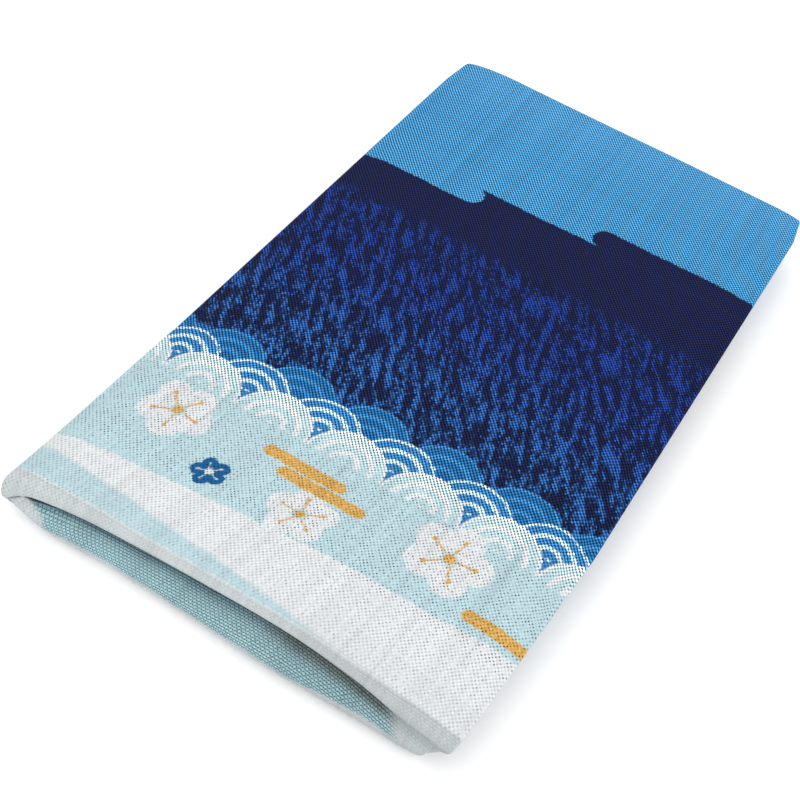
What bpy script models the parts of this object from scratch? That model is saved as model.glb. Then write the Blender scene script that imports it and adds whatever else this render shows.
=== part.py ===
# Tenugui towel: one thin cotton cloth, folded flat and lying on a table.
#
# How the cloth is folded
# Its two long sides are turned under, one over the other, which makes a strip three plies thick.
# The strip's two ends are turned in under it and the whole is then folded in half, so that the
# stack is twelve plies thick with one deep fold at the front and two shallow ones at the back.
# The front fold is loose: it rises in the middle, has caved in below its nose, and comes out again
# to a crease on the table.
#
# The cloth is modelled on its middle surface, a flat grid that is laid along the folds and then
# given its thickness. Lengths are in metres. +X is across the folded towel, +Y goes to the back
# and +Z is up. The origin is on the table, at the middle of the folded towel.

import math

import bmesh
import bpy
from mathutils import Vector

# The cloth
CLOTH_WIDTH = 0.330
CLOTH_LENGTH = 0.890
PLY_THICKNESS = 0.0010
PLY_PITCH = 0.0012

# The strip of three plies
STRIP_HALF = PLY_PITCH + PLY_THICKNESS / 2
STRIP_PITCH = 0.0040

# The towel stands on its folded sides: this is how high its middle is off the table
REST_ARCH = 0.0002

# The folds across the strip, with radii on the strip's middle
BACK_RADIUS = STRIP_PITCH / 2
NOSE_RADIUS = 0.0021
TUCK_LENGTH = 0.0012

# How the top strip rises towards the front fold, and how its overhanging sides hang
RISE_FROM = -0.048
RISE_TO = -0.106
SIDE_DROP = 0.0019
SIDE_DROP_FROM = 0.0535
SIDE_DROP_TO = 0.0610

# The front and back folds from the left side to the right one. Side runs from -1 at the left fold
# to 1 at the right one. Top is the height of the front fold, nose how far its nose reaches to the
# front, turn how many degrees the cloth turns round the nose before it comes out again, crease how
# far the crease on the table reaches to the front, and back how far the back folds reach.
FOLD_LINES = (
    {"side": -1.00, "top": 0.0124, "nose": 0.1150, "turn": 112, "crease": 0.1143, "back": 0.1124},
    {"side": -0.92, "top": 0.0144, "nose": 0.1140, "turn": 117, "crease": 0.1147, "back": 0.1140},
    {"side": -0.78, "top": 0.0157, "nose": 0.1124, "turn": 128, "crease": 0.1145, "back": 0.1149},
    {"side": -0.60, "top": 0.0165, "nose": 0.1113, "turn": 138, "crease": 0.1138, "back": 0.1146},
    {"side": -0.15, "top": 0.0182, "nose": 0.1106, "turn": 145, "crease": 0.1140, "back": 0.1138},
    {"side": 0.26, "top": 0.0190, "nose": 0.1104, "turn": 147, "crease": 0.1145, "back": 0.1134},
    {"side": 0.55, "top": 0.0176, "nose": 0.1108, "turn": 142, "crease": 0.1139, "back": 0.1129},
    {"side": 0.76, "top": 0.0162, "nose": 0.1120, "turn": 128, "crease": 0.1136, "back": 0.1126},
    {"side": 0.92, "top": 0.0150, "nose": 0.1126, "turn": 114, "crease": 0.1134, "back": 0.1122},
    {"side": 1.00, "top": 0.0138, "nose": 0.1128, "turn": 105, "crease": 0.1130, "back": 0.1112},
)

# The legs of the strip's path, from the end that is tucked in under the top to the end that lies
# on the bottom strip, and the steps in each
LEGS = {
    "tucked": 2,
    "tucked back": 2,
    "upper back fold": 6,
    "top back": 2,
    "top": 4,
    "top front": 6,
    "nose": 6,
    "tuck": 1,
    "dent": 4,
    "slope": 3,
    "crease": 6,
    "bottom": 3,
    "lower back fold": 6,
    "inner": 2,
}

# The strip's half widths, left and right, and how much of the sides' drop it has, at the start of
# the path and where some of its legs end
STRIP_SIDES = (
    {"end": "start", "left": 0.0555, "right": 0.0555, "drop": 0.0},
    {"end": "tucked", "left": 0.0555, "right": 0.0555, "drop": 0.0},
    {"end": "tucked back", "left": 0.0604, "right": 0.0602, "drop": 0.0},
    {"end": "upper back fold", "left": 0.0616, "right": 0.0618, "drop": 0.0},
    {"end": "top back", "left": 0.0625, "right": 0.0632, "drop": 0.15},
    {"end": "top", "left": 0.0624, "right": 0.0642, "drop": 1.0},
    {"end": "top front", "left": 0.0640, "right": 0.0614, "drop": 0.0},
    {"end": "nose", "left": 0.0638, "right": 0.0606, "drop": 0.0},
    {"end": "slope", "left": 0.0570, "right": 0.0552, "drop": 0.0},
    {"end": "crease", "left": 0.0545, "right": 0.0534, "drop": 0.0},
    {"end": "bottom", "left": 0.0565, "right": 0.0565, "drop": 0.0},
    {"end": "inner", "left": 0.0550, "right": 0.0550, "drop": 0.0},
)
TUCKED_BACK_START = 0.085
TOP_BACK_END = 0.099

# Where the section across the strip has its vertices, as shares of its half width
ACROSS = (-1.0, -0.95, -0.87, -0.73, -0.50, -0.20, 0.12, 0.42, 0.66, 0.83, 0.94, 1.0)
RIGHT_FOLD_STEPS = 5
LEFT_FOLD_STEPS = 6
EDGE_CLEARANCE = 0.0004

# Looks
COTTON_BLUE = (0.07, 0.20, 0.42, 1.0)
COTTON_ROUGHNESS = 0.9


def soft_step(value, start, end):
    """From 0 at start to 1 at end, with level ends."""
    share = min(1.0, max(0.0, (value - start) / (end - start)))
    return share * share * (3 - 2 * share)


def blend(start, end, share):
    return start + (end - start) * share


def fold_line(side, column):
    """The named column of FOLD_LINES at any place from side to side, on a smooth curve."""
    rows = FOLD_LINES
    last = len(rows) - 2
    index = max(i for i in range(last + 1) if i == 0 or rows[i]["side"] <= side)
    before = rows[max(index - 1, 0)]
    left = rows[index]
    right = rows[index + 1]
    after = rows[min(index + 2, last + 1)]
    span = right["side"] - left["side"]
    share = (side - left["side"]) / span
    slope_left = (right[column] - before[column]) / (right["side"] - before["side"]) * span
    slope_right = (after[column] - left[column]) / (after["side"] - left["side"]) * span
    square = share * share
    cube = square * share
    return (
        (2 * cube - 3 * square + 1) * left[column]
        + (cube - 2 * square + share) * slope_left
        + (3 * square - 2 * cube) * right[column]
        + (cube - square) * slope_right
    )


def arc(start, heading, turn, radius, steps):
    """Points after start on an arc. Heading and turn are angles in the Y Z plane."""
    side = math.copysign(1.0, turn)
    centre = (
        start[0] - side * radius * math.sin(heading),
        start[1] + side * radius * math.cos(heading),
    )
    points = []
    for step in range(1, steps + 1):
        angle = heading + turn * step / steps
        points.append(
            (
                centre[0] + side * radius * math.sin(angle),
                centre[1] - side * radius * math.cos(angle),
            )
        )
    return points


def line(start, end, steps):
    return [
        (blend(start[0], end[0], step / steps), blend(start[1], end[1], step / steps))
        for step in range(1, steps + 1)
    ]


def front_slope(drop, reach, turn):
    """Heading below the horizontal, and length, of the leg from the dent to the crease."""
    down = drop - 2 * NOSE_RADIUS * (1 - math.cos(turn)) - TUCK_LENGTH * math.sin(turn)
    out = reach - 2 * NOSE_RADIUS * math.sin(turn) - TUCK_LENGTH * math.cos(turn)
    length = math.sqrt(down * down + out * out - 4 * NOSE_RADIUS * NOSE_RADIUS)
    angle = math.atan2(length, 2 * NOSE_RADIUS) - math.atan2(out, down)
    return angle, length


def strip_path(side, end=None):
    """Points (y, z) on the middle of the strip, from one end of the cloth to the other.

    End is the y of the cloth's two ends. Without it, it comes from the cloth's length.
    """
    outer_radius = NOSE_RADIUS + STRIP_HALF
    back = fold_line(side, "back") - BACK_RADIUS - STRIP_HALF
    nose = -fold_line(side, "nose") + outer_radius
    crease = -fold_line(side, "crease") + outer_radius
    bottom_z = STRIP_HALF + REST_ARCH * (1 - side * side)
    inner_z = bottom_z + STRIP_PITCH
    tucked_z = inner_z + STRIP_PITCH
    top_z = tucked_z + STRIP_PITCH
    front_z = fold_line(side, "top") - STRIP_HALF
    nose_turn = math.radians(fold_line(side, "turn"))
    angle, length = front_slope(front_z - bottom_z, nose - crease, nose_turn)
    fold_length = 2 * math.pi * BACK_RADIUS
    wrap_turn = 2 * nose_turn + math.pi - 2 * angle
    wrap_length = wrap_turn * NOSE_RADIUS + TUCK_LENGTH + length
    used = fold_length + wrap_length + (back - nose) + (back - crease)
    if end is None:
        end = back - (CLOTH_LENGTH - used) / 2

    points = [(end, tucked_z)]
    points += line(points[-1], (TUCKED_BACK_START, tucked_z), LEGS["tucked"])
    points += line(points[-1], (back, tucked_z), LEGS["tucked back"])
    points += arc(points[-1], 0.0, math.pi, BACK_RADIUS, LEGS["upper back fold"])
    points += line(points[-1], (TOP_BACK_END, top_z), LEGS["top back"])
    points += line(points[-1], (RISE_FROM, top_z), LEGS["top"])
    points += line(points[-1], (nose, top_z), LEGS["top front"])
    first_top = len(points) - LEGS["top front"]
    for index in range(first_top, len(points)):
        y, z = points[index]
        points[index] = (y, blend(z, front_z, soft_step(y, RISE_FROM, RISE_TO)))
    points[-1] = (nose, front_z)
    heading = math.pi
    points += arc(points[-1], heading, nose_turn, NOSE_RADIUS, LEGS["nose"])
    heading += nose_turn
    tuck = (
        points[-1][0] + TUCK_LENGTH * math.cos(heading),
        points[-1][1] + TUCK_LENGTH * math.sin(heading),
    )
    points += line(points[-1], tuck, LEGS["tuck"])
    turn = angle - nose_turn
    points += arc(points[-1], heading, turn, NOSE_RADIUS, LEGS["dent"])
    heading += turn
    foot = (
        points[-1][0] + length * math.cos(heading),
        points[-1][1] + length * math.sin(heading),
    )
    points += line(points[-1], foot, LEGS["slope"])
    points += arc(points[-1], heading, math.pi - angle, NOSE_RADIUS, LEGS["crease"])
    points += line(points[-1], (back, bottom_z), LEGS["bottom"])
    points += arc(points[-1], 0.0, math.pi, BACK_RADIUS, LEGS["lower back fold"])
    points += line(points[-1], (end, inner_z), LEGS["inner"])
    return points


def strip_values(column, side):
    """A column of STRIP_SIDES at every point of the path that the strip has at that side."""
    points = strip_path(side)
    travel = [0.0]
    for before, after in zip(points, points[1:]):
        travel.append(travel[-1] + math.dist(before, after))
    rows = {"start": 0}
    count = 0
    for leg, steps in LEGS.items():
        count += steps
        rows[leg] = count
    values = []
    for knot, following in zip(STRIP_SIDES, STRIP_SIDES[1:]):
        first = rows[knot["end"]]
        last = rows[following["end"]]
        for row in range(first, last):
            share = (travel[row] - travel[first]) / (travel[last] - travel[first])
            values.append(blend(knot[column], following[column], share))
    values.append(STRIP_SIDES[-1][column])
    return values


class Strip:
    """The middle surface of the three-ply strip, straight between the stations of ACROSS.

    A row is a point of the strip's path. All three plies follow this one surface.
    """

    def __init__(self):
        end = strip_path(0.0)[0][0]
        self.lefts = strip_values("left", -1.0)
        self.rights = strip_values("right", 1.0)
        drops = strip_values("drop", 1.0)
        self.lines = []
        for side in ACROSS:
            points = []
            for row, (y, z) in enumerate(strip_path(side, end)):
                x = side * self.half_width(side, row)
                points.append(Vector((x, y, z - drops[row] * side_drop(x))))
            self.lines.append(points)

    def half_width(self, side, row):
        return self.rights[row] if side > 0 else self.lefts[row]

    def normal(self, station, row):
        """Unit normal on the printed face."""
        here = self.lines[station]
        along = here[min(row + 1, len(here) - 1)] - here[max(row - 1, 0)]
        left = self.lines[max(station - 1, 0)][row]
        right = self.lines[min(station + 1, len(self.lines) - 1)][row]
        return along.cross(right - left).normalized()

    def place(self, x, row, height):
        """Where the cloth lies at x across the strip, that height off its middle."""
        side = x / self.half_width(x, row)
        station = max(i for i in range(len(ACROSS) - 1) if i == 0 or ACROSS[i] <= side)
        share = (side - ACROSS[station]) / (ACROSS[station + 1] - ACROSS[station])
        middle = self.lines[station][row].lerp(self.lines[station + 1][row], share)
        normal = self.normal(station, row).lerp(self.normal(station + 1, row), share)
        return middle + height * normal.normalized()


def section(left, right):
    """Places across the strip, from the free edge of one flap to that of the other.

    Each is (x, height above the strip's middle). Left and right are the half widths.
    """
    right_radius = PLY_PITCH / 2
    left_radius = PLY_PITCH
    right_end = right - PLY_THICKNESS / 2 - right_radius
    left_end = -left + PLY_THICKNESS / 2 + left_radius
    folds = math.pi * (right_radius + left_radius)
    flap = (CLOTH_WIDTH - folds - (right_end - left_end)) / 2
    flap = min(flap, right_end - left_end - EDGE_CLEARANCE)
    stations = [blend(left_end, right_end, (share + 1) / 2) for share in ACROSS]

    first_flap = flap_places(stations[::-1], right_end - flap, -1)
    places = [(x, 0.0) for x in first_flap[::-1]]
    for step in range(1, RIGHT_FOLD_STEPS):
        angle = math.pi * step / RIGHT_FOLD_STEPS
        x = right_end + right_radius * math.sin(angle)
        places.append((x, right_radius * (1 - math.cos(angle))))
    places += [(x, PLY_PITCH) for x in stations[::-1]]
    for step in range(1, LEFT_FOLD_STEPS):
        angle = math.pi * step / LEFT_FOLD_STEPS
        x = left_end - left_radius * math.sin(angle)
        places.append((x, left_radius * math.cos(angle)))
    places += [(x, -PLY_PITCH) for x in flap_places(stations, left_end + flap, 1)]
    return places


def flap_places(stations, free_edge, direction):
    """The stations as far as the flap's free edge. Those beyond it close up towards the edge."""
    count = len(ACROSS) - 1
    kept = list(stations[:count])
    kept.append(free_edge)
    limit = free_edge - direction * EDGE_CLEARANCE
    for index in range(count - 1, 0, -1):
        room = limit - direction * EDGE_CLEARANCE * (count - 1 - index)
        if (kept[index] - room) * direction > 0:
            kept[index] = room
    return kept


def side_drop(x):
    """How far the top strip hangs down beside the strips below it."""
    return SIDE_DROP * soft_step(abs(x), SIDE_DROP_FROM, SIDE_DROP_TO)


def lay_cloth():
    """Grid of the cloth's middle surface, laid along its folds."""
    strip = Strip()
    rows = len(strip.lefts)
    columns = len(section(strip.lefts[0], strip.rights[0]))
    mesh = bmesh.new()
    bmesh.ops.create_grid(mesh, x_segments=columns - 1, y_segments=rows - 1, size=0.5)
    for vertex in mesh.verts:
        column = round((vertex.co.x + 0.5) * (columns - 1))
        row = round((vertex.co.y + 0.5) * (rows - 1))
        x, height = section(strip.lefts[row], strip.rights[row])[column]
        vertex.co = strip.place(x, row, height)
    return mesh


def cotton():
    material = bpy.data.materials.new("printed_cotton")
    material.use_nodes = True
    shader = material.node_tree.nodes["Principled BSDF"]
    shader.inputs["Base Color"].default_value = COTTON_BLUE
    shader.inputs["Roughness"].default_value = COTTON_ROUGHNESS
    shader.inputs["Metallic"].default_value = 0.0
    return material


def build():
    for item in list(bpy.data.objects):
        bpy.data.objects.remove(item, do_unlink=True)
    collection = bpy.data.collections.new("tenugui_towel")
    bpy.context.scene.collection.children.link(collection)

    grid = lay_cloth()
    data = bpy.data.meshes.new("towel_cloth")
    grid.to_mesh(data)
    grid.free()
    cloth = bpy.data.objects.new("towel_cloth", data)
    collection.objects.link(cloth)
    cloth.data.materials.append(cotton())

    thickness = cloth.modifiers.new("ply thickness", "SOLIDIFY")
    thickness.thickness = PLY_THICKNESS
    thickness.offset = 0.0
    thickness.use_rim = True


build()
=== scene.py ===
# Looks of a folded tenugui towel: open plain-weave cotton, printed in bands, on a pale floor.

import math

import bmesh
import bpy
from mathutils import Matrix, Vector


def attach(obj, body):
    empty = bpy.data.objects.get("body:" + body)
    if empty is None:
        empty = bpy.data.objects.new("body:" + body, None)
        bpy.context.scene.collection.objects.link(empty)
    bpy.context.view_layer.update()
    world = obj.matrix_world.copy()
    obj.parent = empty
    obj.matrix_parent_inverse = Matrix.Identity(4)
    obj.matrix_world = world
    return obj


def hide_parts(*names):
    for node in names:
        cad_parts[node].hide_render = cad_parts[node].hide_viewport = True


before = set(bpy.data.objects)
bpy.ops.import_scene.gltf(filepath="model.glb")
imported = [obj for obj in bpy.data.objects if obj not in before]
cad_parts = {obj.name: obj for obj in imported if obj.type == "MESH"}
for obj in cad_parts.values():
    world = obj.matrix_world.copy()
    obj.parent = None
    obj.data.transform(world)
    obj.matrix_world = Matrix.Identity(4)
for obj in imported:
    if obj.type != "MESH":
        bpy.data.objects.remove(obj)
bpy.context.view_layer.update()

# The cloth, in metres
CLOTH_WIDTH = 0.330
CLOTH_LENGTH = 0.890
PLY_THICKNESS = 0.0007
PLY_PITCH = 0.00135

# The towel stands on its folded sides: this is how high its middle is off the table
REST_ARCH = 0.0002

# The strip of three plies that the cloth is folded into, and its folds
STRIP_HALF = PLY_PITCH + PLY_THICKNESS / 2
STRIP_PITCH = 0.0040
BACK_RADIUS = STRIP_PITCH / 2
NOSE_RADIUS = 0.0021
TUCK_LENGTH = 0.0012
RISE_FROM = -0.048
RISE_TO = -0.106
SIDE_DROP = 0.0019
SIDE_DROP_FROM = 0.0535
SIDE_DROP_TO = 0.0610

# The front and back folds from the left side to the right one. Side runs from -1 at the left fold
# to 1 at the right one. Top is the height of the front fold, nose how far its nose reaches to the
# front, turn how many degrees the cloth turns round the nose before it comes out again, crease how
# far the crease on the table reaches to the front, and back how far the back folds reach.
FOLD_LINES = (
    {"side": -1.00, "top": 0.0117, "nose": 0.1166, "turn": 112, "crease": 0.1143, "back": 0.1124},
    {"side": -0.92, "top": 0.0144, "nose": 0.1140, "turn": 117, "crease": 0.1147, "back": 0.1140},
    {"side": -0.78, "top": 0.0157, "nose": 0.1124, "turn": 128, "crease": 0.1145, "back": 0.1149},
    {"side": -0.60, "top": 0.0165, "nose": 0.1113, "turn": 138, "crease": 0.1138, "back": 0.1146},
    {"side": -0.15, "top": 0.0182, "nose": 0.1106, "turn": 145, "crease": 0.1140, "back": 0.1138},
    {"side": 0.26, "top": 0.0190, "nose": 0.1104, "turn": 147, "crease": 0.1145, "back": 0.1134},
    {"side": 0.55, "top": 0.0176, "nose": 0.1108, "turn": 142, "crease": 0.1139, "back": 0.1129},
    {"side": 0.76, "top": 0.0162, "nose": 0.1120, "turn": 128, "crease": 0.1136, "back": 0.1126},
    {"side": 0.92, "top": 0.0150, "nose": 0.1126, "turn": 114, "crease": 0.1134, "back": 0.1122},
    {"side": 1.00, "top": 0.0138, "nose": 0.1128, "turn": 105, "crease": 0.1130, "back": 0.1112},
)

# The legs of the strip's path, from the end that is tucked in under the top to the end that lies
# on the bottom strip, and the steps in each
LEGS = {
    "tucked": 14,
    "tucked back": 4,
    "upper back fold": 14,
    "top back": 10,
    "top": 92,
    "top front": 44,
    "nose": 16,
    "tuck": 1,
    "dent": 10,
    "slope": 14,
    "crease": 14,
    "bottom": 26,
    "lower back fold": 14,
    "inner": 14,
}

# The strip's half widths, left and right, and how much of the sides' drop it has, at the start of
# the path and where some of its legs end
STRIP_SIDES = (
    {"end": "start", "left": 0.0555, "right": 0.0555, "drop": 0.0},
    {"end": "tucked", "left": 0.0555, "right": 0.0555, "drop": 0.0},
    {"end": "tucked back", "left": 0.0604, "right": 0.0602, "drop": 0.0},
    {"end": "upper back fold", "left": 0.0616, "right": 0.0618, "drop": 0.0},
    {"end": "top back", "left": 0.0625, "right": 0.0632, "drop": 0.15},
    {"end": "top", "left": 0.0624, "right": 0.0642, "drop": 1.0},
    {"end": "top front", "left": 0.0640, "right": 0.0614, "drop": 0.0},
    {"end": "nose", "left": 0.0638, "right": 0.0606, "drop": 0.0},
    {"end": "slope", "left": 0.0570, "right": 0.0552, "drop": 0.0},
    {"end": "crease", "left": 0.0545, "right": 0.0534, "drop": 0.0},
    {"end": "bottom", "left": 0.0565, "right": 0.0565, "drop": 0.0},
    {"end": "inner", "left": 0.0550, "right": 0.0550, "drop": 0.0},
)
TUCKED_BACK_START = 0.085
TOP_BACK_END = 0.099

# Where the section across the strip has its vertices: evenly spaced, and closer near both sides
STATION_COUNT = 48
STATION_CROWDING = 0.62
RIGHT_FOLD_STEPS = 7
LEFT_FOLD_STEPS = 9
EDGE_CLEARANCE = 0.0004

# How far the lengthwise threads are dragged to the left at the front
DRAG_FROM = -0.055
DRAG_SPAN = 0.050
DRAG_MOST = 1.4
DRAG = 0.0044
RIGHT_DRAG = 0.3
RIGHT_DRAG_FROM = -0.02
RIGHT_DRAG_TO = 0.05


def soft_step(value, start, end):
    """From 0 at start to 1 at end, with level ends."""
    share = min(1.0, max(0.0, (value - start) / (end - start)))
    return share * share * (3 - 2 * share)


def blend(start, end, share):
    return start + (end - start) * share


def stations_across():
    """Places from -1 at the left fold to 1 at the right one."""
    places = []
    for index in range(STATION_COUNT):
        even = 2 * index / (STATION_COUNT - 1) - 1
        places.append(blend(even, math.sin(even * math.pi / 2), STATION_CROWDING))
    return places


ACROSS = stations_across()


def fold_line(side, column):
    """The named column of FOLD_LINES at any place from side to side, on a smooth curve."""
    rows = FOLD_LINES
    last = len(rows) - 2
    index = max(i for i in range(last + 1) if i == 0 or rows[i]["side"] <= side)
    before = rows[max(index - 1, 0)]
    left = rows[index]
    right = rows[index + 1]
    after = rows[min(index + 2, last + 1)]
    span = right["side"] - left["side"]
    share = (side - left["side"]) / span
    slope_left = (right[column] - before[column]) / (right["side"] - before["side"]) * span
    slope_right = (after[column] - left[column]) / (after["side"] - left["side"]) * span
    square = share * share
    cube = square * share
    return (
        (2 * cube - 3 * square + 1) * left[column]
        + (cube - 2 * square + share) * slope_left
        + (3 * square - 2 * cube) * right[column]
        + (cube - square) * slope_right
    )


def arc(start, heading, turn, radius, steps):
    """Points after start on an arc. Heading and turn are angles in the Y Z plane."""
    side = math.copysign(1.0, turn)
    centre = (
        start[0] - side * radius * math.sin(heading),
        start[1] + side * radius * math.cos(heading),
    )
    points = []
    for step in range(1, steps + 1):
        angle = heading + turn * step / steps
        points.append(
            (
                centre[0] + side * radius * math.sin(angle),
                centre[1] - side * radius * math.cos(angle),
            )
        )
    return points


def line(start, end, steps):
    return [
        (blend(start[0], end[0], step / steps), blend(start[1], end[1], step / steps))
        for step in range(1, steps + 1)
    ]


def front_slope(drop, reach, turn):
    """Heading below the horizontal, and length, of the leg from the dent to the crease."""
    down = drop - 2 * NOSE_RADIUS * (1 - math.cos(turn)) - TUCK_LENGTH * math.sin(turn)
    out = reach - 2 * NOSE_RADIUS * math.sin(turn) - TUCK_LENGTH * math.cos(turn)
    length = math.sqrt(down * down + out * out - 4 * NOSE_RADIUS * NOSE_RADIUS)
    angle = math.atan2(length, 2 * NOSE_RADIUS) - math.atan2(out, down)
    return angle, length


def strip_path(side, end=None):
    """Points (y, z) on the middle of the strip, from one end of the cloth to the other.

    End is the y of the cloth's two ends. Without it, it comes from the cloth's length.
    """
    outer_radius = NOSE_RADIUS + STRIP_HALF
    back = fold_line(side, "back") - BACK_RADIUS - STRIP_HALF
    nose = -fold_line(side, "nose") + outer_radius
    crease = -fold_line(side, "crease") + outer_radius
    bottom_z = STRIP_HALF + REST_ARCH * (1 - side * side)
    inner_z = bottom_z + STRIP_PITCH
    tucked_z = inner_z + STRIP_PITCH
    top_z = tucked_z + STRIP_PITCH
    front_z = fold_line(side, "top") - STRIP_HALF
    nose_turn = math.radians(fold_line(side, "turn"))
    angle, length = front_slope(front_z - bottom_z, nose - crease, nose_turn)
    fold_length = 2 * math.pi * BACK_RADIUS
    wrap_turn = 2 * nose_turn + math.pi - 2 * angle
    wrap_length = wrap_turn * NOSE_RADIUS + TUCK_LENGTH + length
    used = fold_length + wrap_length + (back - nose) + (back - crease)
    if end is None:
        end = back - (CLOTH_LENGTH - used) / 2

    points = [(end, tucked_z)]
    points += line(points[-1], (TUCKED_BACK_START, tucked_z), LEGS["tucked"])
    points += line(points[-1], (back, tucked_z), LEGS["tucked back"])
    points += arc(points[-1], 0.0, math.pi, BACK_RADIUS, LEGS["upper back fold"])
    points += line(points[-1], (TOP_BACK_END, top_z), LEGS["top back"])
    points += line(points[-1], (RISE_FROM, top_z), LEGS["top"])
    points += line(points[-1], (nose, top_z), LEGS["top front"])
    first_top = len(points) - LEGS["top front"]
    for index in range(first_top, len(points)):
        y, z = points[index]
        points[index] = (y, blend(z, front_z, soft_step(y, RISE_FROM, RISE_TO)))
    points[-1] = (nose, front_z)
    heading = math.pi
    points += arc(points[-1], heading, nose_turn, NOSE_RADIUS, LEGS["nose"])
    heading += nose_turn
    tuck = (
        points[-1][0] + TUCK_LENGTH * math.cos(heading),
        points[-1][1] + TUCK_LENGTH * math.sin(heading),
    )
    points += line(points[-1], tuck, LEGS["tuck"])
    turn = angle - nose_turn
    points += arc(points[-1], heading, turn, NOSE_RADIUS, LEGS["dent"])
    heading += turn
    foot = (
        points[-1][0] + length * math.cos(heading),
        points[-1][1] + length * math.sin(heading),
    )
    points += line(points[-1], foot, LEGS["slope"])
    points += arc(points[-1], heading, math.pi - angle, NOSE_RADIUS, LEGS["crease"])
    points += line(points[-1], (back, bottom_z), LEGS["bottom"])
    points += arc(points[-1], 0.0, math.pi, BACK_RADIUS, LEGS["lower back fold"])
    points += line(points[-1], (end, inner_z), LEGS["inner"])
    return points


def leg_rows():
    """The row at which each leg ends."""
    rows = {"start": 0}
    count = 0
    for leg, steps in LEGS.items():
        count += steps
        rows[leg] = count
    return rows


ROWS = leg_rows()

# Places round the front fold: how far round it each of these legs ends
FRONT_PLACES = (
    {"end": "top front", "place": 0.0},
    {"end": "nose", "place": 1.0},
    {"end": "dent", "place": 2.0},
    {"end": "slope", "place": 3.0},
    {"end": "crease", "place": 4.0},
    {"end": "bottom", "place": 5.0},
)


def front_place(row):
    """How far round the front fold a row lies, as in FRONT_PLACES."""
    for before, after in zip(FRONT_PLACES, FRONT_PLACES[1:]):
        first = ROWS[before["end"]]
        last = ROWS[after["end"]]
        if first <= row <= last:
            return blend(before["place"], after["place"], (row - first) / (last - first))
    return 0.0 if row < ROWS["nose"] else FRONT_PLACES[-1]["place"]


def travel_along(points):
    """Distance from the first point to each one."""
    travel = [0.0]
    for before, after in zip(points, points[1:]):
        travel.append(travel[-1] + math.dist(before, after))
    return travel


def printed_path(points):
    """The path that the printed ply takes on the outside of the strip."""
    path = []
    for index, (y, z) in enumerate(points):
        before = points[max(index - 1, 0)]
        after = points[min(index + 1, len(points) - 1)]
        length = math.dist(before, after)
        out_y = (after[1] - before[1]) / length
        out_z = (before[0] - after[0]) / length
        path.append((y + PLY_PITCH * out_y, z + PLY_PITCH * out_z))
    return path


def strip_values(column, side):
    """A column of STRIP_SIDES at every point of the path that the strip has at that side."""
    travel = travel_along(strip_path(side))
    values = []
    for knot, following in zip(STRIP_SIDES, STRIP_SIDES[1:]):
        first = ROWS[knot["end"]]
        last = ROWS[following["end"]]
        for row in range(first, last):
            share = (travel[row] - travel[first]) / (travel[last] - travel[first])
            values.append(blend(knot[column], following[column], share))
    values.append(STRIP_SIDES[-1][column])
    return values


def side_drop(x):
    """How far the top strip hangs down beside the strips below it."""
    return SIDE_DROP * soft_step(abs(x), SIDE_DROP_FROM, SIDE_DROP_TO)


class Strip:
    """The middle surface of the three-ply strip, straight between the stations of ACROSS.

    A row is a point of the strip's path. All three plies follow this one surface.
    """

    def __init__(self):
        end = strip_path(0.0)[0][0]
        self.lefts = strip_values("left", -1.0)
        self.rights = strip_values("right", 1.0)
        drops = strip_values("drop", 1.0)
        self.lines = []
        self.lengths = []
        for side in ACROSS:
            path = strip_path(side, end)
            travel = travel_along(printed_path(path))
            self.lengths.append([travel[ROWS["top"]] - there + RISE_FROM for there in travel])
            points = []
            for row, (y, z) in enumerate(path):
                x = side * self.half_width(side, row)
                points.append(Vector((x, y, z - drops[row] * side_drop(x))))
            self.lines.append(points)
        self.normals = [
            [self.normal(station, row) for row in range(len(self.lefts))]
            for station in range(len(ACROSS))
        ]

    def half_width(self, side, row):
        return self.rights[row] if side > 0 else self.lefts[row]

    def normal(self, station, row):
        """Unit normal on the printed face."""
        here = self.lines[station]
        along = here[min(row + 1, len(here) - 1)] - here[max(row - 1, 0)]
        left = self.lines[max(station - 1, 0)][row]
        right = self.lines[min(station + 1, len(self.lines) - 1)][row]
        return along.cross(right - left).normalized()

    def place(self, x, row, height):
        """Where the cloth lies at x across the strip, that height off its middle.

        Also gives the place along the cloth, which on the flat top is y.
        """
        side = x / self.half_width(x, row)
        station = max(i for i in range(len(ACROSS) - 1) if i == 0 or ACROSS[i] <= side)
        share = (side - ACROSS[station]) / (ACROSS[station + 1] - ACROSS[station])
        middle = self.lines[station][row].lerp(self.lines[station + 1][row], share)
        normal = self.normals[station][row].lerp(self.normals[station + 1][row], share)
        along = blend(self.lengths[station][row], self.lengths[station + 1][row], share)
        return middle + height * normal.normalized(), along


def section(left, right):
    """Places across the strip, from the free edge of one flap to that of the other.

    Each is (x, height above the strip's middle). Left and right are the half widths.
    """
    right_radius = PLY_PITCH / 2
    left_radius = PLY_PITCH
    right_end = right - PLY_THICKNESS / 2 - right_radius
    left_end = -left + PLY_THICKNESS / 2 + left_radius
    folds = math.pi * (right_radius + left_radius)
    flap = (CLOTH_WIDTH - folds - (right_end - left_end)) / 2
    flap = min(flap, right_end - left_end - EDGE_CLEARANCE)
    stations = [blend(left_end, right_end, (share + 1) / 2) for share in ACROSS]

    first_flap = flap_places(stations[::-1], right_end - flap, -1)
    places = [(x, 0.0) for x in first_flap[::-1]]
    for step in range(1, RIGHT_FOLD_STEPS):
        angle = math.pi * step / RIGHT_FOLD_STEPS
        x = right_end + right_radius * math.sin(angle)
        places.append((x, right_radius * (1 - math.cos(angle))))
    places += [(x, PLY_PITCH) for x in stations[::-1]]
    for step in range(1, LEFT_FOLD_STEPS):
        angle = math.pi * step / LEFT_FOLD_STEPS
        x = left_end - left_radius * math.sin(angle)
        places.append((x, left_radius * math.cos(angle)))
    places += [(x, -PLY_PITCH) for x in flap_places(stations, left_end + flap, 1)]
    return places


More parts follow.
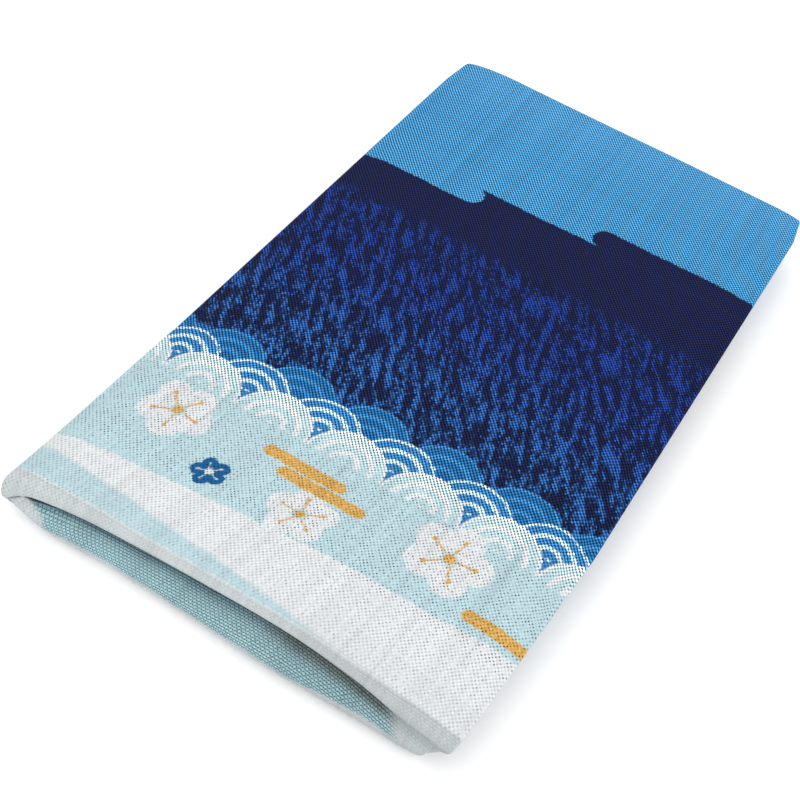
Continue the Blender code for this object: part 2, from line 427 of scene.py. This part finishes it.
def flap_places(stations, free_edge, direction):
    """The stations as far as the flap's free edge. Those beyond it close up towards the edge."""
    count = len(ACROSS) - 1
    kept = list(stations[:count])
    kept.append(free_edge)
    limit = free_edge - direction * EDGE_CLEARANCE
    for index in range(count - 1, 0, -1):
        room = limit - direction * EDGE_CLEARANCE * (count - 1 - index)
        if (kept[index] - room) * direction > 0:
            kept[index] = room
    return kept


def places_across(places):
    """How far each place of a section is from the middle of the cloth's width, to the right."""
    travel = travel_along(places)
    first_top = len(ACROSS) + RIGHT_FOLD_STEPS - 1
    offset = travel[first_top] + places[first_top][0]
    return [offset - there for there in travel]


def drag(x, along):
    """How far the threads at a place are dragged to the left where the front has been pulled."""
    pull = max(0.0, (DRAG_FROM - along) / DRAG_SPAN)
    share = blend(1.0, RIGHT_DRAG, soft_step(x, RIGHT_DRAG_FROM, RIGHT_DRAG_TO))
    return DRAG * min(pull, DRAG_MOST) ** 2 * share


def lay_cloth():
    """Grid of the cloth's middle surface, laid along its folds.

    It has two UV maps: the places across and along the cloth, and from side to side and round
    the front fold.
    """
    strip = Strip()
    rows = len(strip.lefts)
    sections = [section(left, right) for left, right in zip(strip.lefts, strip.rights)]
    across = [places_across(places) for places in sections]
    columns = len(sections[0])
    mesh = bmesh.new()
    bmesh.ops.create_grid(mesh, x_segments=columns - 1, y_segments=rows - 1, size=0.5)
    cloth_places = {}
    front_places = {}
    for vertex in mesh.verts:
        column = round((vertex.co.x + 0.5) * (columns - 1))
        row = round((vertex.co.y + 0.5) * (rows - 1))
        x, height = sections[row][column]
        vertex.co, along = strip.place(x, row, height)
        cloth_places[vertex] = (across[row][column] + drag(x, along), along)
        side = x / strip.half_width(x, row)
        front_places[vertex] = (side, front_place(row))
    cloth_layer = mesh.loops.layers.uv.new("cloth")
    front_layer = mesh.loops.layers.uv.new("front")
    for face in mesh.faces:
        face.smooth = True
        for loop in face.loops:
            loop[cloth_layer].uv = cloth_places[loop.vert]
            loop[front_layer].uv = front_places[loop.vert]
    return mesh


def towel_cloth(material):
    grid = lay_cloth()
    data = bpy.data.meshes.new("printed_cloth")
    grid.to_mesh(data)
    grid.free()
    cloth = bpy.data.objects.new("printed_cloth", data)
    bpy.context.scene.collection.objects.link(cloth)
    cloth.data.materials.append(material)
    thickness = cloth.modifiers.new("ply thickness", "SOLIDIFY")
    thickness.thickness = PLY_THICKNESS
    thickness.offset = 0.0
    thickness.use_rim = True
    return cloth


# Shader maths


class Value:
    """A socket with one number. Python's operators on it add the Math nodes."""

    def __init__(self, dye, socket):
        self.dye = dye
        self.socket = socket

    def math(self, operation, *others):
        node = self.dye.node(
            "ShaderNodeMath", {"operation": operation}, dict(enumerate((self, *others)))
        )
        return Value(self.dye, node.outputs[0])

    def __add__(self, other):
        return self.math("ADD", other)

    def __sub__(self, other):
        return self.math("SUBTRACT", other)

    def __mul__(self, other):
        return self.math("MULTIPLY", other)

    def __truediv__(self, other):
        return self.math("DIVIDE", other)

    def __pow__(self, other):
        return self.math("POWER", other)

    def __rsub__(self, other):
        return self * -1.0 + other

    def __neg__(self):
        return self.math("MULTIPLY", -1.0)

    def __abs__(self):
        return self.math("ABSOLUTE")

    __radd__ = __add__
    __rmul__ = __mul__

    def sin(self):
        return self.math("SINE")

    def cos(self):
        return self.math("COSINE")

    def floor(self):
        return self.math("FLOOR")

    def at_least(self, other):
        return self.math("MAXIMUM", other)

    def at_most(self, other):
        return self.math("MINIMUM", other)

    def step(self, start, end):
        """From 0 at start to 1 at end, with level ends."""
        settings = {"interpolation_type": "SMOOTHSTEP"}
        node = self.dye.node("ShaderNodeMapRange", settings, {0: self, 1: start, 2: end})
        return Value(self.dye, node.outputs[0])

    def edge(self, middle, half):
        """From 0 before an edge to 1 after it."""
        return self.step(middle - half, middle + half)


class Dye:
    """Adds the nodes of one material."""

    def __init__(self, name):
        self.material = bpy.data.materials.new(name)
        self.material.use_nodes = True
        self.tree = self.material.node_tree
        self.shader = self.tree.nodes["Principled BSDF"]

    def node(self, kind, settings, sockets):
        node = self.tree.nodes.new(kind)
        for name, value in settings.items():
            setattr(node, name, value)
        for name, value in sockets.items():
            self.connect(value, node.inputs[name])
        return node

    def connect(self, value, socket):
        if isinstance(value, Value):
            value = value.socket
        if isinstance(value, bpy.types.NodeSocket):
            self.tree.links.new(value, socket)
        else:
            socket.default_value = value

    def places(self, uv_map):
        """The two places that a UV map of the cloth holds."""
        uv = self.node("ShaderNodeUVMap", {"uv_map": uv_map}, {})
        parts = self.node("ShaderNodeSeparateXYZ", {}, {0: uv.outputs[0]})
        return Value(self, parts.outputs[0]), Value(self, parts.outputs[1])

    def point(self, across, along, layer=0.0):
        node = self.node("ShaderNodeCombineXYZ", {}, {0: across, 1: along, 2: layer})
        return node.outputs[0]

    def noise(self, name, across, along):
        """The named row of NOISES at a place on the cloth."""
        look = NOISES[name]
        sockets = {
            "Vector": self.point(across, along * look["stretch"], look["layer"]),
            "Scale": look["scale"],
            "Detail": look["detail"],
            "Roughness": look["roughness"],
        }
        return Value(self, self.node("ShaderNodeTexNoise", {}, sockets).outputs[0])

    def speck(self, place):
        node = self.node("ShaderNodeTexWhiteNoise", {"noise_dimensions": "3D"}, {0: place})
        return Value(self, node.outputs[0])

    def mix(self, first, second, share):
        """Colour that goes from first to second as share goes from 0 to 1."""
        node = self.node(
            "ShaderNodeMix", {"data_type": "RGBA"}, {0: share, 6: first, 7: second}
        )
        return node.outputs[2]

    def shade(self, colour, amount):
        """The colour times a number."""
        node = self.node(
            "ShaderNodeVectorMath", {"operation": "SCALE"}, {0: colour, "Scale": amount}
        )
        return node.outputs[0]


# Noises on the cloth. A small stretch draws one out along it, and each layer is another pattern.
NOISES = {
    "bend across": {"stretch": 1, "layer": 0, "scale": 60, "detail": 2, "roughness": 0.5},
    "bend along": {"stretch": 1, "layer": 5, "scale": 60, "detail": 2, "roughness": 0.5},
    "streaks": {"stretch": 0.03, "layer": 2, "scale": 330, "detail": 2, "roughness": 0.6},
    "patches": {"stretch": 1, "layer": 4, "scale": 420, "detail": 2, "roughness": 0.6},
    "gold grain": {"stretch": 1, "layer": 7, "scale": 1400, "detail": 2, "roughness": 0.5},
    "broad flecks": {"stretch": 0.22, "layer": 0, "scale": 520, "detail": 2, "roughness": 0.6},
    "fine flecks": {"stretch": 0.35, "layer": 3, "scale": 1500, "detail": 1, "roughness": 0.5},
}

# The curve of screen colours
SCREEN_FULL = 255
DARK_LIMIT = 0.04045
DARK_SLOPE = 12.92
CURVE_OFFSET = 0.055
CURVE_POWER = 2.4


def srgb(red, green, blue):
    """Linear colour, with alpha, of a screen colour from 0 to 255."""
    linear = []
    for channel in (red, green, blue):
        share = channel / SCREEN_FULL
        if share < DARK_LIMIT:
            linear.append(share / DARK_SLOPE)
        else:
            linear.append(((share + CURVE_OFFSET) / (1 + CURVE_OFFSET)) ** CURVE_POWER)
    return (*linear, 1.0)


# Print colours, and colours with painted shade
SKY = srgb(55, 122, 165)
LIGHT_SKY = srgb(64, 128, 171)
NAVY = srgb(7, 14, 50)
INDIGO = srgb(4, 11, 44)
FLECK = srgb(16, 49, 126)
LIGHT_FLECK = srgb(44, 107, 158)
AQUA = srgb(167, 192, 198)
PALE_AQUA = srgb(167, 190, 196)
WHITE = srgb(201, 204, 206)
# The white print painted darker where the cloth turns down at the nose, at the right of the mouth
# and at the crease: painted shade
SHADED_WHITE = srgb(184, 190, 192)
GOLD = srgb(182, 139, 62)
LIGHT_GOLD = srgb(203, 163, 99)
TEAL = srgb(20, 84, 132)
THREAD_SHEEN = srgb(120, 140, 225)
# Painted shade in the mouth below the nose: dark shade close under it, olive shade under its right
# part, and the aqua print painted darker, teal to aqua, lower down
MOUTH_PAINTED_SHADE = srgb(16, 42, 50)
MOUTH_OLIVE_SHADE = srgb(108, 117, 115)
MOUTH_TEAL_SHADE = srgb(117, 150, 162)
MOUTH_AQUA_SHADE = srgb(146, 179, 186)

# Where the printed bands begin and end along the cloth. On the flat top this is y.
SKY_FROM = 0.0545
LIGHT_SKY_FROM = 0.075
LIGHT_SKY_TO = 0.112
NAVY_FROM = 0.026
NAVY_FULL = 0.032
WAVES_FROM = -0.052
WHITE_FROM = -0.0913
WHITE_SLANT = 0.075
STREAK_FROM = -0.1096
STREAK_TO = -0.1063
STREAK_SLANT = 0.10
SHOULDER = -0.1101

# Half the width of the bands' edges, and where the streak fades out to the right and at its top
SKY_EDGE = 0.0003
BAND_EDGE = 0.0004
WHITE_EDGE = 0.0005
SHAPE_EDGE = 0.00025
STREAK_FADES = (0.015, 0.042)
STREAK_TOP = (-0.0010, 0.0006)

# How far the print bleeds along the threads, and how far the threads bend
BLEED = 0.0005
BEND = 0.0009

# Flecks in the indigo: their lean, how much of them is broad, how far single threads show in them,
# where the noise turns to flecks, and how they brighten to the waves and fade to the navy
FLECK_LEAN = math.radians(24)
BROAD_SHARE = 0.75
FLECK_THREADS = 0.10
FLECK_NOISE = (0.46, 0.60)
FLECK_BRIGHT_SPAN = 0.06
FLECK_BRIGHT = 0.55
FLECK_FADES = (-0.02, 0.045)
FLECK_FADE = 0.35

# Mist bars that step the border of sky and navy: from and to across the cloth, middle along it
MIST_IN_NAVY = ({"from": -0.120, "to": -0.022, "along": 0.0505},)
MIST_IN_SKY = ({"from": 0.012, "to": 0.120, "along": 0.0585},)
MIST_HALF = 0.0042

# Three rows of overlapping wave scales between indigo and aqua
WAVE_RADIUS = 0.0110
WAVE_RINGS = 3
WAVE_ROWS = (
    {"row": 0, "ground": TEAL, "ring": LIGHT_FLECK},
    {"row": 1, "ground": LIGHT_FLECK, "ring": AQUA},
    {"row": 2, "ground": AQUA, "ring": WHITE},
)

# Plum blossoms: place across and along the cloth, size to the petals' tips, turn in degrees
BLOSSOMS = (
    {"across": -0.042, "along": -0.0735, "size": 0.0105, "turn": 10},
    {"across": 0.002, "along": -0.0835, "size": 0.0090, "turn": 40},
    {"across": 0.036, "along": -0.0720, "size": 0.0115, "turn": -8},
)
BLUE_BLOSSOMS = ({"across": -0.0225, "along": -0.0855, "size": 0.0050, "turn": 20},)

# Gold mist bars on the aqua
GOLD_BARS = (
    {"from": -0.018, "to": 0.006, "along": -0.0705},
    {"from": -0.011, "to": 0.014, "along": -0.0745},
    {"from": 0.046, "to": 0.090, "along": -0.0830},
)
GOLD_HALF = 0.0018

# Parts of a blossom, as shares of its size
PETAL_COUNT = 5
PETAL_AT = 0.56
PETAL_RADIUS = 0.42
PETALS_FROM = 0.18
PETALS_SOFT = 0.05
HEART_RADIUS = 0.13
STAMEN_AT = 0.36
STAMEN_HALF = 0.18
STAMEN_HALF_WIDTH = 0.022
STAMEN_TIP_AT = 0.58
STAMEN_TIP_RADIUS = 0.06

# Where the rings' wave turns to print, and the noise to light gold
RING_WAVE = (0.15, 0.55)
GOLD_GRAIN = (0.35, 0.65)

# Weave, in metres, and the crown of a thread where it lies on top
WARP_PITCH = 0.00056
WEFT_PITCH = 0.00062
CROWN = 0.6

# Where the waves of the threads turn to dots, knuckles, holes and rows
DOT_WAVE = (0.15, 0.80)
KNUCKLE_WAVE = (0.15, 0.85)
HOLE_WAVE = (0.25, 0.90)
ROW_WAVE = (0.10, 0.75)

# In the dark bands the dots lean to one diagonal, from this far before the waves
LEAN = 0.35
DARK_FADE = 0.012


class Weave:
    """Plain weave: the dots where the weft dives under, the knuckles, the holes and the rows."""

    def __init__(self, dye, across, along):
        warp_turn = across * (math.pi / WARP_PITCH)
        weft_turn = along * (math.pi / WEFT_PITCH)
        warp_wave = warp_turn.sin()
        weft_wave = weft_turn.sin()
        crossing = warp_wave * weft_wave
        slanted = warp_turn.cos() * weft_turn.cos()
        self.in_dark = along.step(WAVES_FROM - DARK_FADE, WAVES_FROM)
        over = abs(warp_wave) + crossing * CROWN
        under = abs(weft_wave) - crossing * CROWN
        self.height = over.at_least(under) * (1 / (1 + CROWN))
        dive = crossing - (slanted - crossing) * (self.in_dark * LEAN)
        self.dots = dive.step(*DOT_WAVE)
        self.knuckles = (-dive).step(*KNUCKLE_WAVE)
        self.holes = (1 - abs(warp_wave).step(*HOLE_WAVE)) * (1 - abs(weft_wave).step(*HOLE_WAVE))
        self.rows = 1 - abs(weft_wave).step(*ROW_WAVE)
        warp_number = (across * (1 / WARP_PITCH)).floor()
        weft_number = (along * (1 / WEFT_PITCH)).floor()
        self.cell = dye.speck(dye.point(warp_number, weft_number))
        self.warp_tone = dye.speck(dye.point(warp_number, 0.5)) - 0.5
        self.weft_tone = dye.speck(dye.point(0.5, weft_number)) - 0.5


def inside(distance):
    """From 1 inside a printed shape to 0 outside it."""
    return 1 - distance.edge(0.0, SHAPE_EDGE)


def bar_distance(across, along, bar, half):
    """Distance outside a bar with round ends."""
    middle = (bar["from"] + bar["to"]) / 2
    reach = (bar["to"] - bar["from"]) / 2 - half
    beyond = (abs(across - middle) - reach).at_least(0.0)
    off = along - bar["along"]
    return (beyond * beyond + off * off) ** 0.5 - half


def bars(across, along, rows, half):
    """From 1 on any bar of a table to 0 off them."""
    nearest = bar_distance(across, along, rows[0], half)
    for row in rows[1:]:
        nearest = nearest.at_most(bar_distance(across, along, row, half))
    return inside(nearest)


def disc(out, beside, middle, radius):
    """From 1 on a disc that lies that far out to 0 off it."""
    off = out - middle
    return inside((off * off + beside * beside) ** 0.5 - radius)


def blossom(across, along, flower):
    """The petals, and the heart and stamens, of one five-petalled blossom."""
    size = flower["size"]
    right = across - flower["across"]
    up = along - flower["along"]
    away = (right * right + up * up) ** 0.5
    sector = 2 * math.pi / PETAL_COUNT
    turned = up.math("ARCTAN2", right) * (1 / sector) + math.radians(flower["turn"]) / sector
    angle = (turned - (turned + 0.5).floor()) * sector
    out = away * angle.cos()
    beside = abs(away * angle.sin())
    petals = disc(out, beside, PETAL_AT * size, PETAL_RADIUS * size)
    petals = petals * (away - PETALS_FROM * size).step(0.0, PETALS_SOFT * size)
    heart = inside(away - HEART_RADIUS * size)
    beyond = abs(out - STAMEN_AT * size) - STAMEN_HALF * size
    stamens = inside(beyond.at_least(beside - STAMEN_HALF_WIDTH * size))
    tips = disc(out, beside, STAMEN_TIP_AT * size, STAMEN_TIP_RADIUS * size)
    return petals, heart.at_least(stamens).at_least(tips)


def wave_row(across, along, row):
    """The scales of one row, and the rings in them."""
    foot = WAVES_FROM - row * WAVE_RADIUS / 2
    shifted = across * (1 / (2 * WAVE_RADIUS)) + 0.5 * (row % 2)
    right = (shifted - (shifted + 0.5).floor()) * (2 * WAVE_RADIUS)
    up = along - foot
    away = (right * right + up * up) ** 0.5
    scale = inside(away - WAVE_RADIUS).at_least(inside(up))
    rings = (away * (2 * math.pi * WAVE_RINGS / WAVE_RADIUS)).cos().step(*RING_WAVE)
    return scale, rings * inside(-up)


def flecked_indigo(dye, across, along, threads):
    """Mottled indigo, lighter and brighter towards the waves."""
    aside = across * math.cos(FLECK_LEAN) + along * math.sin(FLECK_LEAN)
    length = along * math.cos(FLECK_LEAN) - across * math.sin(FLECK_LEAN)
    broad = dye.noise("broad flecks", aside, length)
    fine = dye.noise("fine flecks", aside, length)
    flecks = broad * BROAD_SHARE + fine * (1 - BROAD_SHARE) + (threads - 0.5) * FLECK_THREADS
    nearness = 1 - along.step(WAVES_FROM, WAVES_FROM + FLECK_BRIGHT_SPAN)
    bright = dye.mix(FLECK, LIGHT_FLECK, nearness * FLECK_BRIGHT)
    fading = 1 - along.step(*FLECK_FADES) * FLECK_FADE
    return dye.mix(INDIGO, bright, flecks.step(*FLECK_NOISE) * fading)


def printed_colour(dye, across, along, threads):
    """The print: plain and mottled bands, wave scales, blossoms and gold bars, and the nose's
    white print with painted shade.
    """
    indigo = flecked_indigo(dye, across, along, threads)
    dark = dye.mix(indigo, NAVY, along.step(NAVY_FROM, NAVY_FULL))
    colour = dye.mix(AQUA, dark, along.edge(WAVES_FROM, BAND_EDGE))
    for look in WAVE_ROWS:
        scale, rings = wave_row(across, along, look["row"])
        ground = dye.mix(look["ground"], look["ring"], rings)
        colour = dye.mix(colour, ground, scale)

    gold_grain = dye.noise("gold grain", across, along)
    gold = dye.mix(GOLD, LIGHT_GOLD, gold_grain.step(*GOLD_GRAIN))
    for flower in BLOSSOMS:
        petals, heart = blossom(across, along, flower)
        colour = dye.mix(colour, WHITE, petals)
        colour = dye.mix(colour, gold, heart)
    for flower in BLUE_BLOSSOMS:
        petals, heart = blossom(across, along, flower)
        colour = dye.mix(colour, TEAL, petals)
        colour = dye.mix(colour, WHITE, heart)
    colour = dye.mix(colour, gold, bars(across, along, GOLD_BARS, GOLD_HALF))

    white_from = across * WHITE_SLANT + WHITE_FROM
    colour = dye.mix(WHITE, colour, (along - white_from).edge(0.0, WHITE_EDGE))
    streak_to = STREAK_TO - across * STREAK_SLANT
    streak = along.edge(STREAK_FROM, BAND_EDGE) * (1 - (along - streak_to).step(*STREAK_TOP))
    colour = dye.mix(colour, PALE_AQUA, streak * (1 - across.step(*STREAK_FADES)))
    # Beyond the shoulder the nose's white print is painted darker: painted shade
    colour = dye.mix(SHADED_WHITE, colour, along.edge(SHOULDER, BAND_EDGE))

    sky_blue = dye.mix(SKY, LIGHT_SKY, along.step(LIGHT_SKY_FROM, LIGHT_SKY_TO))
    sky = along.edge(SKY_FROM, SKY_EDGE) * (1 - bars(across, along, MIST_IN_SKY, MIST_HALF))
    sky = sky.at_least(bars(across, along, MIST_IN_NAVY, MIST_HALF))
    return dye.mix(colour, sky_blue, sky)


# The mouth, where the fold gapes below the nose and its shade is painted into the colour. A pair
# of numbers is where something begins and is whole, from side to side or round the front fold.
MOUTH_FROM = 0.87
MOUTH_EDGE = 0.03
MOUTH_LATER_LEFT = 0.20
MOUTH_LEFT = (-1.0, -0.88)
MOUTH_WANDER = 0.25
WEDGE = (0.0, 0.35)
SHADE_FROM = 0.05
SHADE_REACH = 0.45
SHADE_REACH_MORE = 1.60
SHADE_REACH_MORE_SIDE = (-1.0, -0.55)
SHADE_SIDE = (-0.97, -0.91)
WEDGE_LATER = 1.25
WEDGE_LESS = 1.25
SHADE_LIGHTENS_FRONT = (2.0, 2.7)
PINCH_SIDE = (0.70, 0.80)
PINCH_LEAN = 0.07
PINCH_AT = 2.0
PINCH_WANDER = 0.10
PINCH_LESS_SHADE = 0.75
RIM_FRONT = (3.32, 3.46)
RIM_LEFT = (0.892, 0.935)
RIM_WANDER = 0.2
RIM_SOONER = 0.22
RIM_SOONER_SIDE = (0.30, 0.80)
OLIVE_SHADE_SIDE = (-0.15, 0.45)


class Mouth:
    """Where the fold gapes below the nose, its painted shade and where that lightens, where it is
    pinched, and its rim.
    """

    def __init__(self, side, front, bend):
        start = MOUTH_FROM + MOUTH_LATER_LEFT * (1 - side.step(*MOUTH_LEFT))
        self.below_nose = (front - start).edge(0.0, MOUTH_EDGE)
        wandering = front + bend * MOUTH_WANDER
        wedge = side.step(*WEDGE)
        shade_start = start + SHADE_FROM + wedge * WEDGE_LATER
        reach = side.step(*SHADE_REACH_MORE_SIDE) * SHADE_REACH_MORE + SHADE_REACH - wedge * WEDGE_LESS
        # Painted shade, darkest close under the nose and fading lower down; it starts later in a
        # wedge on the right
        self.painted_shade = 1 - ((wandering - shade_start) / reach).step(0.0, 1.0)
        self.painted_shade = self.painted_shade * side.step(*SHADE_SIDE)
        # Where the painted shade lightens from teal to aqua lower down
        self.low = wandering.step(*SHADE_LIGHTENS_FRONT)
        pinch = side - (front - PINCH_AT) * PINCH_LEAN + bend * PINCH_WANDER
        self.pinch = pinch.step(*PINCH_SIDE)
        rim = front + bend * RIM_WANDER + side.step(*RIM_SOONER_SIDE) * RIM_SOONER
        self.rim = rim.step(*RIM_FRONT).at_least((-side).step(*RIM_LEFT))
        self.gape = self.below_nose * (1 - self.pinch) * (1 - self.rim)


def mouth_print_and_shade(dye, colour, mouth, side):
    """Print below the nose with painted shade: dark under it, olive at right, darkened aqua lower,
    shaded white at the pinch and the pale crease.
    """
    aqua = dye.mix(MOUTH_TEAL_SHADE, MOUTH_AQUA_SHADE, mouth.low)
    aqua = dye.mix(aqua, SHADED_WHITE, mouth.pinch)
    # Painted shade close under the nose, olive on the right
    dark = dye.mix(MOUTH_PAINTED_SHADE, MOUTH_OLIVE_SHADE, side.step(*OLIVE_SHADE_SIDE))
    aqua = dye.mix(aqua, dark, mouth.painted_shade * (1 - mouth.pinch * PINCH_LESS_SHADE))
    aqua = dye.mix(aqua, SHADED_WHITE, mouth.rim)
    return dye.mix(colour, aqua, mouth.below_nose)


# How strongly the weave shows. Depths are how much darker or lighter a thing makes the cloth. In
# the mouth the weave's dots, rows and holes are darkened further by painted shade.
FRONT_PLACE = (0.05, 0.30)
PRESSED_ALONG = (0.0980, 0.1075)
PRESSED = 0.35
AQUA_EDGE = 0.001
CELL_NOISE = (-0.3, 0.9)
PATCH_NOISE = (0.25, 0.70)
PATCHES = 0.5
DARK_DOTS_LEAST = 0.80
MOUTH_DOTS_LEAST = 0.35
DOT_DEPTH = 0.62
AQUA_DOT_DEPTH = 0.35
MOUTH_DOT_SHADE = 0.30
FLAT_LEFT = 0.35
FLAT_MORE = 0.35
FLAT_SIDE = (-0.9, -0.3)
NOSE_ROW_DEPTH = 0.05
NOSE_ROW_MORE = 0.08
NOSE_ROW_SIDE = (0.2, 0.6)
MOUTH_ROW_SHADE = 0.08
MOUTH_ROW_SHADE_MORE = 0.28
MOUTH_ROW_SIDE = (-0.75, -0.25)
ROW_UNEVEN = 0.9
MOUTH_HOLE_SHADE = 0.92
NOSE_HOLE_DEPTH = 0.08
KNUCKLE_DEPTH = 0.12
DARK_KNUCKLE_DEPTH = 0.76
MOUTH_KNUCKLE_DEPTH = 0.22
NOSE_KNUCKLE_LESS = 0.8
WARP_TONES = 0.10
WEFT_TONES = 0.06
STREAK_NOISE = (0.50, 0.72)
STREAK_DEPTH = 0.10
DARK_STREAK_LESS = 0.06
DARK_CONTRAST = 0.5
SHOULDER_LINE = (0.0001, 0.0005)
SHOULDER_DEPTH = 0.14
NOSE_SHADE = 0.12
NOSE_SHADE_SIDE = (0.0, 0.6)
SHEEN = 0.035
COTTON_ROUGHNESS = 0.9
COTTON_SPECULAR = 0.12
NOSE_RELIEF_LESS = 0.7
RELIEF_HEIGHT = 0.0002
RELIEF_STRENGTH = 0.6


def thread_light(dye, weave, mouth, across, along, side, in_front):
    """How light the threads make the print at a place: the weave, its tones and the shoulder, with
    painted shade in the mouth's dots, rows and holes and on the right of the nose.
    """
    in_aqua = along.edge(WHITE_FROM, AQUA_EDGE)
    patches = dye.noise("patches", across, along).step(*PATCH_NOISE)
    strength = weave.cell.step(*CELL_NOISE) * (patches * PATCHES + (1 - PATCHES))
    strength = strength.at_least(weave.in_dark * DARK_DOTS_LEAST)
    strength = strength.at_least(mouth.gape * MOUTH_DOTS_LEAST)
    flat = in_front * (side.step(*FLAT_SIDE) * FLAT_MORE + FLAT_LEFT)
    dot_depth = (in_aqua * AQUA_DOT_DEPTH + DOT_DEPTH) * (1 - flat)
    # Painted shade: the weave's dots are darker in the mouth
    dot_depth = dot_depth + mouth.gape * MOUTH_DOT_SHADE
    dots = weave.dots * (strength * dot_depth).at_most(1.0)

    nose_rows = in_front * (NOSE_ROW_DEPTH + side.step(*NOSE_ROW_SIDE) * NOSE_ROW_MORE)
    # Painted shade: the rows and holes are darker in the mouth, where shade lies behind the open
    # weave
    mouth_row_shade = side.step(*MOUTH_ROW_SIDE) * MOUTH_ROW_SHADE_MORE + MOUTH_ROW_SHADE
    uneven = 1 + weave.weft_tone * ROW_UNEVEN
    rows = weave.rows * (nose_rows + mouth.gape * mouth_row_shade * uneven)
    holes = weave.holes * (mouth.gape * MOUTH_HOLE_SHADE + in_front * NOSE_HOLE_DEPTH)
    knuckle_depth = weave.in_dark * DARK_KNUCKLE_DEPTH + KNUCKLE_DEPTH
    knuckle_depth = knuckle_depth * (1 - in_front * NOSE_KNUCKLE_LESS)
    knuckles = weave.knuckles * (knuckle_depth + mouth.gape * MOUTH_KNUCKLE_DEPTH)
    light = (1 - dots) * (1 - rows) * (1 - holes) * (1 + knuckles)

    light = light * (1 + weave.warp_tone * WARP_TONES + weave.weft_tone * WEFT_TONES)
    streaks = dye.noise("streaks", across, along).step(*STREAK_NOISE)
    light = light * (1 - streaks * (STREAK_DEPTH - weave.in_dark * DARK_STREAK_LESS))
    light = light ** (weave.in_dark * DARK_CONTRAST + 1.0)
    shoulder = 1 - abs(along - SHOULDER).step(*SHOULDER_LINE)
    light = light * (1 - shoulder * SHOULDER_DEPTH)
    return light * (1 - in_front * side.step(*NOSE_SHADE_SIDE) * NOSE_SHADE)


def printed_cotton():
    dye = Dye("printed_cotton")
    across, along = dye.places("cloth")
    side, front = dye.places("front")
    bend = dye.noise("bend across", across, along) - 0.5
    across = across + bend * BEND
    along = along + (dye.noise("bend along", across, along) - 0.5) * BEND
    weave = Weave(dye, across, along)
    mouth = Mouth(side, front, bend)
    pressed = (-along).step(*PRESSED_ALONG) * PRESSED
    in_front = front.step(*FRONT_PLACE).at_least(pressed)

    bleed = (weave.cell - 0.5) * BLEED
    colour = printed_colour(dye, across + bleed, along + bleed, weave.cell)
    colour = mouth_print_and_shade(dye, colour, mouth, side)
    light = thread_light(dye, weave, mouth, across, along, side, in_front)
    colour = dye.shade(colour, light)
    colour = dye.mix(colour, THREAD_SHEEN, weave.knuckles * weave.in_dark * SHEEN)

    dye.connect(colour, dye.shader.inputs["Base Color"])
    dye.shader.inputs["Roughness"].default_value = COTTON_ROUGHNESS
    dye.shader.inputs["Specular IOR Level"].default_value = COTTON_SPECULAR
    relief = {
        "Height": weave.height * (1 - in_front * NOSE_RELIEF_LESS),
        "Distance": RELIEF_HEIGHT,
        "Strength": RELIEF_STRENGTH,
    }
    bump = dye.node("ShaderNodeBump", {}, relief)
    dye.connect(bump.outputs[0], dye.shader.inputs["Normal"])
    return dye.material


# Studio
FLOOR_HALF = 3.0
FLOOR_WHITE = (0.93, 0.93, 0.93, 1.0)
FLOOR_ROUGHNESS = 0.9
WORLD_WHITE = (1.0, 1.0, 1.0, 1.0)
WORLD_STRENGTH = 1.22
SOFTBOXES = (
    {"name": "key softbox", "place": (-0.5, 0.7, 1.2), "size": 1.2, "power": 3.0},
    {"name": "fill softbox", "place": (0.8, -0.6, 1.0), "size": 1.0, "power": 4.0},
)

# Camera at the photograph's viewing angle
CAMERA_PLACE = Vector((0.093256, -0.262885, 0.282744))
CAMERA_FORWARD = Vector((-0.25654, 0.62655, -0.73596))
CAMERA_UP = Vector((-0.46438, 0.58790, 0.66238))
CAMERA_LENS = 62.72
CAMERA_SENSOR = 36.0
CAMERA_NEAR = 0.01


def floor():
    mesh = bmesh.new()
    bmesh.ops.create_grid(mesh, x_segments=1, y_segments=1, size=FLOOR_HALF)
    data = bpy.data.meshes.new("pale_floor")
    mesh.to_mesh(data)
    mesh.free()
    surface = bpy.data.objects.new("pale_floor", data)
    bpy.context.scene.collection.objects.link(surface)
    dye = Dye("pale_floor")
    dye.shader.inputs["Base Color"].default_value = FLOOR_WHITE
    dye.shader.inputs["Roughness"].default_value = FLOOR_ROUGHNESS
    data.materials.append(dye.material)
    return surface


def camera():
    data = bpy.data.cameras.new("camera")
    data.lens = CAMERA_LENS
    data.sensor_width = CAMERA_SENSOR
    data.clip_start = CAMERA_NEAR
    view = bpy.data.objects.new("camera", data)
    right = CAMERA_FORWARD.cross(CAMERA_UP)
    turn = Matrix((right, CAMERA_UP, -CAMERA_FORWARD)).transposed().to_4x4()
    view.matrix_world = Matrix.Translation(CAMERA_PLACE) @ turn
    bpy.context.scene.collection.objects.link(view)
    bpy.context.scene.camera = view


def softbox(look):
    """A square lamp that is turned to the origin."""
    data = bpy.data.lights.new(look["name"], "AREA")
    data.shape = "SQUARE"
    data.size = look["size"]
    data.energy = look["power"]
    lamp = bpy.data.objects.new(look["name"], data)
    lamp.location = look["place"]
    aim = -Vector(look["place"])
    lamp.rotation_euler = aim.to_track_quat("-Z", "Y").to_euler()
    bpy.context.scene.collection.objects.link(lamp)


def studio():
    world = bpy.data.worlds.new("studio")
    world.use_nodes = True
    background = world.node_tree.nodes["Background"]
    background.inputs["Color"].default_value = WORLD_WHITE
    background.inputs["Strength"].default_value = WORLD_STRENGTH
    bpy.context.scene.world = world
    for look in SOFTBOXES:
        softbox(look)
    bpy.context.scene.view_settings.view_transform = "Standard"


cloth = towel_cloth(printed_cotton())
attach(cloth, "root")
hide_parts("towel_cloth")
floor()
camera()
studio()
